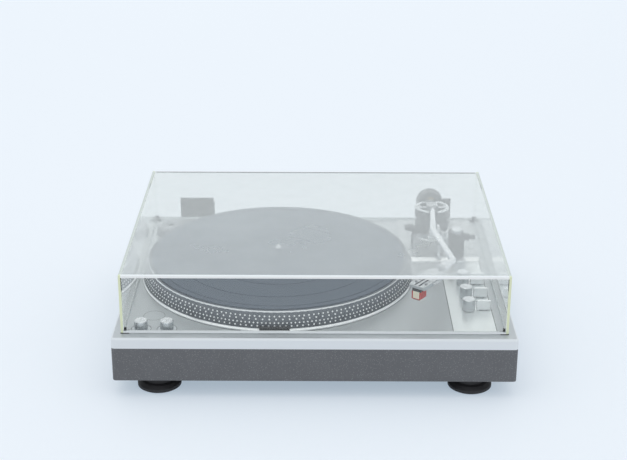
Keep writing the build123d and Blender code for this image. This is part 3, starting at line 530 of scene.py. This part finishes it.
# Knobs and adaptor: turned aluminium knobs, fluted down their sides, with a notch to point with,
# and the adaptor in a darker satin.
knob_finish = finish("turned_knob", (0.66, 0.68, 0.70), 0.24, metallic=1.0, grain=0.0004, contrast=0.08,
                     bump=0.00001)
adaptor_finish = finish("adaptor_satin", (0.28, 0.29, 0.31), 0.38, metallic=0.8, grain=0.0005,
                        contrast=0.08)
dress(knob_finish, "speed_knob", "size_knob", "lift_speed_knob", "repeat_knob", "pitch_knob_left",
      "pitch_knob_right", "antiskate_knob")
dress(adaptor_finish, "single_adaptor")


# Paddles: thin upright blades of bright plated metal beside the knobs.
paddle_finish = finish("paddle_bright", (0.88, 0.90, 0.92), 0.24, metallic=0.5, grain=0.0005, contrast=0.06)
dress(paddle_finish, "start_paddle", "stop_paddle", "mode_paddle")


# Tonearm base: a dark pillar on a satin foot, and the cup that turns on it, dark outside with a
# satin rim. The block between the side pivots is satin too.
arm_silver = (0.60, 0.62, 0.64, 1)
arm_dark = (0.07, 0.073, 0.08, 1)
foot_height = 0.0165
rim_height = 0.0449
pillar_finish = finish("pillar_two_tone", arm_dark[:3], 0.36, metallic=0.55, grain=0.0008, contrast=0.12,
                       bump=0.00002)
ring_finish = finish("gimbal_two_tone", arm_dark[:3], 0.3, metallic=0.6, grain=0.0005, contrast=0.08)
hub_finish = finish("hub_satin", (0.50, 0.51, 0.53), 0.32, metallic=0.7, grain=0.0006, contrast=0.1)
two_tone(pillar_finish, arm_silver, arm_dark, foot_height)
two_tone(ring_finish, arm_dark, arm_silver, rim_height)
dress(pillar_finish, "arm_base")
dress(ring_finish, "gimbal_ring")
dress(hub_finish, "arm_hub")


# Arm tube, collar, rest post and lift barrel: bright plated metal, the tube S-shaped with a
# locking collar at its head end.
tube_finish = finish("tube_plated", (0.76, 0.77, 0.79), 0.12, metallic=1.0, grain=0.0008, contrast=0.04,
                     bump=0.000004)
clip_finish = finish("clip_pale", (0.72, 0.73, 0.74), 0.35, grain=0.0007, contrast=0.08)
dress(tube_finish, "arm_tube", "headshell_collar", "arm_rest_post", "lift_barrel")
dress(clip_finish, "arm_rest_clip")


# Headshell and cartridge: a satin shell with two slots, a glossy black cartridge, a cream
# stylus block and a glossy red guard in front of the stylus.
shell_finish = finish("headshell_satin", (0.58, 0.60, 0.62), 0.3, metallic=0.9, grain=0.0004, contrast=0.08)
cartridge_finish = finish("cartridge_black", (0.018, 0.018, 0.02), 0.16, grain=0.0008, contrast=0.15,
                          coat=0.6)
stylus_finish = finish("stylus_cream", (0.78, 0.74, 0.62), 0.3, grain=0.0008, contrast=0.06)
guard_finish = finish("guard_red", (0.5, 0.025, 0.015), 0.2, grain=0.0008, contrast=0.1, coat=0.6)
dress(shell_finish, "headshell", "finger_lift")
dress(cartridge_finish, "cartridge_body")
dress(stylus_finish, "stylus_holder")
dress(guard_finish, "stylus_guard")


# Counterweight: a heavy black cylinder with a knurled waist, which hangs low behind the pivot on
# a brass bush, and a black force dial in front of it.
weight_finish = finish("weight_black", (0.03, 0.031, 0.035), 0.35, metallic=0.2, grain=0.0005,
                       contrast=0.15)
dial_finish = finish("dial_black", (0.02, 0.02, 0.022), 0.38, grain=0.0006, contrast=0.15)
dress(weight_finish, "counterweight")
dress(brass_finish, "weight_bush")
dress(dial_finish, "force_dial")


# Cueing: a dark housing with a dark grey lever on its side, and a curved bar faced with rubber
# that lifts the arm.
lever_finish = finish("lever_dark", (0.10, 0.10, 0.11), 0.36, metallic=0.4, grain=0.0006, contrast=0.1)
lift_finish = finish("lift_rubber", (0.03, 0.03, 0.033), 0.6, grain=0.0009, contrast=0.25)
dress(moulding_finish, "cue_housing")
dress(lever_finish, "cue_lever")
dress(lift_finish, "cue_lift_bar")


# Dust cover: one clear acrylic moulding, nearly invisible face on and a mirror at a glance. A pale
# diffuse layer on its top, mottled like fine dust, thickens at a slant into a veil, which is a painted
# sheen.
# Its edges, within the wall's own thickness, are painted pale, and yellow-green at the upright ones: a
# painted glow for the light that runs inside.
lid_low, lid_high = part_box("lid_cover")
lid_edge = 0.0030
foot_line = 0.0024
dust_and_sheen_depth = 0.0002
# Painted glow: the edge colours below stand for light that runs inside the acrylic and comes out at its
# edges.
upright_edge_glow = (0.70, 0.76, 0.54, 1)
level_edge_glow = (0.82, 0.85, 0.87, 1)
side_edge_glow = (0.56, 0.61, 0.58, 1)
acrylic = bpy.data.materials.new("lid_acrylic")
tree = shader_nodes(acrylic)
place = tree.nodes.new("ShaderNodeTexCoord")
spot = tree.nodes.new("ShaderNodeSeparateXYZ")
wire(tree, place.outputs["Object"], spot.inputs[0])


def maths(operation, first, second):
    """A Math node on two values, each a socket or a number."""
    node = tree.nodes.new("ShaderNodeMath")
    node.operation = operation
    for socket, given in zip(node.inputs, (first, second)):
        if isinstance(given, (int, float)):
            socket.default_value = given
        else:
            wire(tree, given, socket)
    return node.outputs[0]


near_left = maths("LESS_THAN", spot.outputs["X"], lid_low[0] + lid_edge)
near_right = maths("GREATER_THAN", spot.outputs["X"], lid_high[0] - lid_edge)
near_front = maths("LESS_THAN", spot.outputs["Y"], lid_low[1] + lid_edge)
near_rear = maths("GREATER_THAN", spot.outputs["Y"], lid_high[1] - lid_edge)
near_top = maths("GREATER_THAN", spot.outputs["Z"], lid_high[2] - lid_edge)
foot_glint = maths("LESS_THAN", spot.outputs["Z"], lid_low[2] + foot_line)
beside = maths("MAXIMUM", near_left, near_right)
across = maths("MAXIMUM", near_front, near_rear)
upright = maths("MULTIPLY", beside, across)
side_top = maths("MULTIPLY", near_top, beside)
round_top = maths("MULTIPLY", near_top, maths("MAXIMUM", beside, across))
level = maths("MAXIMUM", round_top, foot_glint)
edge_glow_mask = maths("MAXIMUM", upright, level)
edge_glow_tone = tree.nodes.new("ShaderNodeMix")
edge_glow_tone.data_type = "RGBA"
edge_glow_tone.inputs["B"].default_value = upright_edge_glow
wire(tree, upright, edge_glow_tone.inputs["Factor"])
level_glow_tone = tree.nodes.new("ShaderNodeMix")
level_glow_tone.data_type = "RGBA"
level_glow_tone.inputs["A"].default_value = level_edge_glow
level_glow_tone.inputs["B"].default_value = side_edge_glow
wire(tree, side_top, level_glow_tone.inputs["Factor"])
wire(tree, level_glow_tone.outputs["Result"], edge_glow_tone.inputs["A"])
# Painted glow: an opaque skin along the edges, in place of the clear acrylic.
edge_glow_skin = tree.nodes.new("ShaderNodeBsdfPrincipled")
wire(tree, edge_glow_tone.outputs["Result"], edge_glow_skin.inputs["Base Color"])
edge_glow_skin.inputs["Roughness"].default_value = 0.35
edge_glow_skin.inputs["IOR"].default_value = 1.49

acrylic_skin = tree.nodes.new("ShaderNodeBsdfPrincipled")
acrylic_skin.inputs["Base Color"].default_value = (0.97, 0.975, 0.965, 1)
acrylic_skin.inputs["IOR"].default_value = 1.49
acrylic_skin.inputs["Transmission Weight"].default_value = 1.0
acrylic_skin.inputs["Roughness"].default_value = 0.0
smear = tree.nodes.new("ShaderNodeTexNoise")
smear.inputs["Scale"].default_value = 9.0
smear.inputs["Detail"].default_value = 4.0
wire(tree, place.outputs["Object"], smear.inputs["Vector"])

dust_and_sheen_skin = tree.nodes.new("ShaderNodeBsdfDiffuse")
dust_and_sheen_skin.inputs["Color"].default_value = (0.63, 0.675, 0.685, 1)
top_face = maths("GREATER_THAN", spot.outputs["Z"], lid_high[2] - dust_and_sheen_depth)
dust = tree.nodes.new("ShaderNodeMapRange")
dust.inputs["From Min"].default_value = 0.3
dust.inputs["From Max"].default_value = 0.7
dust.inputs["To Min"].default_value = 0.9
dust.inputs["To Max"].default_value = 1.1
wire(tree, smear.outputs[0], dust.inputs["Value"])
# Painted sheen: the layer's share grows from 5 to 42 percent as the top is seen at a slant.
glance = tree.nodes.new("ShaderNodeLayerWeight")
glance.inputs["Blend"].default_value = 0.5
slant_sheen = tree.nodes.new("ShaderNodeMapRange")
slant_sheen.inputs["From Min"].default_value = 0.2
slant_sheen.inputs["From Max"].default_value = 0.7
slant_sheen.inputs["To Min"].default_value = 0.05
slant_sheen.inputs["To Max"].default_value = 0.42
wire(tree, glance.outputs["Facing"], slant_sheen.inputs["Value"])
dust_and_sheen_share = maths("MULTIPLY", top_face, maths("MULTIPLY", dust.outputs[0], slant_sheen.outputs[0]))
dust_and_sheen_mix = tree.nodes.new("ShaderNodeMixShader")
wire(tree, dust_and_sheen_share, dust_and_sheen_mix.inputs[0])
wire(tree, acrylic_skin.outputs[0], dust_and_sheen_mix.inputs[1])
wire(tree, dust_and_sheen_skin.outputs[0], dust_and_sheen_mix.inputs[2])
edged = tree.nodes.new("ShaderNodeMixShader")
wire(tree, edge_glow_mask, edged.inputs[0])
wire(tree, dust_and_sheen_mix.outputs[0], edged.inputs[1])
wire(tree, edge_glow_skin.outputs[0], edged.inputs[2])

lamp_path = tree.nodes.new("ShaderNodeLightPath")
lamp_or_bounce = maths("MAXIMUM", lamp_path.outputs["Is Shadow Ray"], lamp_path.outputs["Is Diffuse Ray"])
lamp_through = tree.nodes.new("ShaderNodeBsdfTransparent")
lamp_through.inputs["Color"].default_value = (0.94, 0.95, 0.94, 1)
acrylic_mix = tree.nodes.new("ShaderNodeMixShader")
wire(tree, lamp_or_bounce, acrylic_mix.inputs[0])
wire(tree, edged.outputs[0], acrylic_mix.inputs[1])
wire(tree, lamp_through.outputs[0], acrylic_mix.inputs[2])
acrylic_tint = tree.nodes.new("ShaderNodeVolumeAbsorption")
acrylic_tint.inputs["Color"].default_value = (0.86, 0.90, 0.70, 1)
acrylic_tint.inputs["Density"].default_value = 5.0
acrylic_output = tree.nodes.new("ShaderNodeOutputMaterial")
wire(tree, acrylic_mix.outputs[0], acrylic_output.inputs["Surface"])
wire(tree, acrylic_tint.outputs[0], acrylic_output.inputs["Volume"])
pad_finish = finish("lid_pad_rubber", (0.015, 0.015, 0.016), 0.5, grain=0.0006, contrast=0.2)
dress(acrylic, "lid_cover")
dress(pad_finish, "lid_bumpers")
